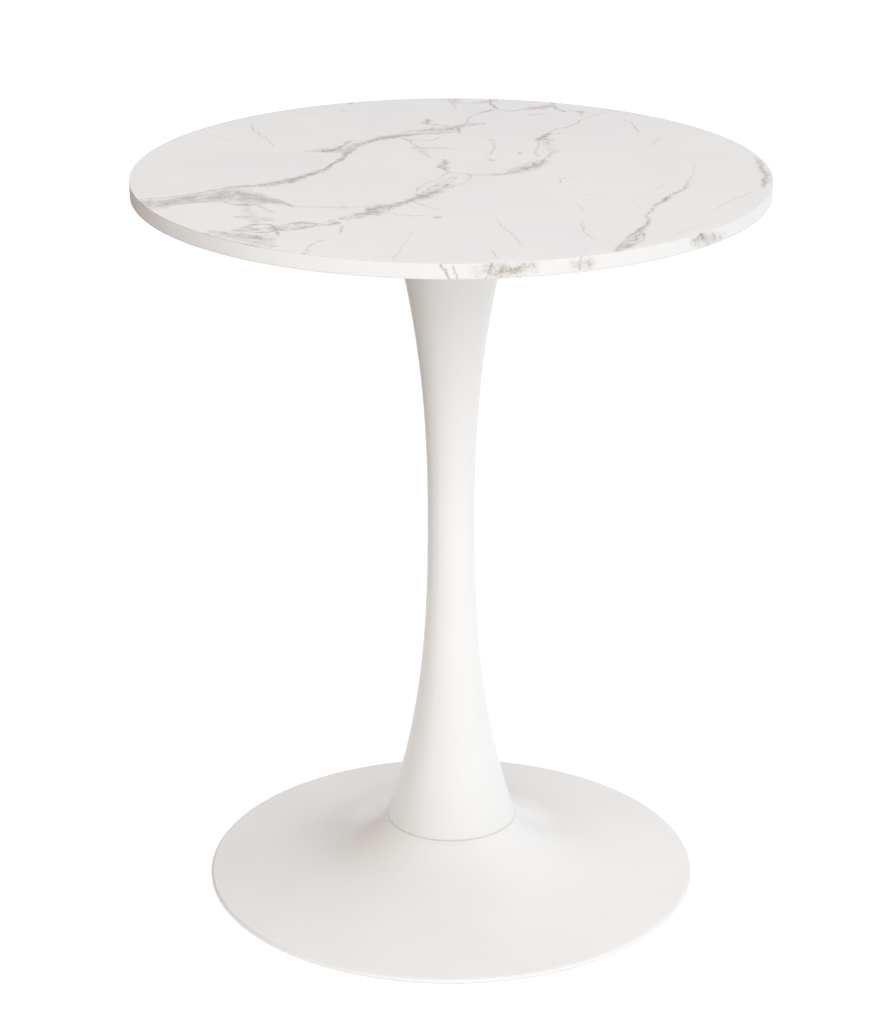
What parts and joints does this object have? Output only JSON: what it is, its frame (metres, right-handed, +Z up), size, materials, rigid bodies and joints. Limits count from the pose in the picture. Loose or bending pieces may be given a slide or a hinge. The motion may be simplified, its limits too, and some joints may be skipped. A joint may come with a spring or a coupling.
{
  "type": "pedestal table",
  "caption": "Round table: a flat marble-look top on a slim waisted column that flares out and stands on a wide, shallow trumpet foot.",
  "frame": {"origin": "on the floor, at the middle of the round foot", "axes": "+Z up along the column, +X and +Y across the top; -Y is the side that faces the viewer"},
  "size_m": [0.6, 0.6, 0.725],
  "materials": {
    "marble_laminate": "satin high-pressure laminate printed with a white marble pattern, grey and brown veins",
    "marble_band": "satin edge band printed with the same white marble pattern",
    "fibreboard": "raw medium-density fibreboard",
    "backing_sheet": "plain off-white balancing laminate",
    "white_paint": "satin white powder coat on spun steel",
    "grey_paint": "dark grey powder coat on plate steel",
    "zinc_steel": "bright zinc plated steel",
    "insert_brass": "machined brass",
    "cast_iron": "sand cast iron, dipped in black primer",
    "ring_plastic": "moulded nylon, warm grey",
    "trim_rubber": "soft grey extruded trim"
  },
  "bodies": {
    "root": {"top_laminate": "marble_laminate", "top_core": "fibreboard", "top_backing": "backing_sheet", "edge_band": "marble_band", "threaded_insert_1": "insert_brass", "threaded_insert_2": "insert_brass", "threaded_insert_3": "insert_brass", "threaded_insert_4": "insert_brass", "mounting_plate": "grey_paint", "plate_nut": "zinc_steel", "head_ring": "ring_plastic", "plate_screw_1": "zinc_steel", "plate_screw_2": "zinc_steel", "plate_screw_3": "zinc_steel", "plate_screw_4": "zinc_steel", "screw_washer_1": "zinc_steel", "screw_washer_2": "zinc_steel", "screw_washer_3": "zinc_steel", "screw_washer_4": "zinc_steel", "column_shell": "white_paint", "clamp_rod": "zinc_steel", "foot_ring": "ring_plastic", "foot_cover": "white_paint", "rim_trim": "trim_rubber", "foot_weight": "cast_iron", "clamp_washer": "zinc_steel", "spring_washer": "zinc_steel", "clamp_nut": "zinc_steel"}
  },
  "joints": []
}
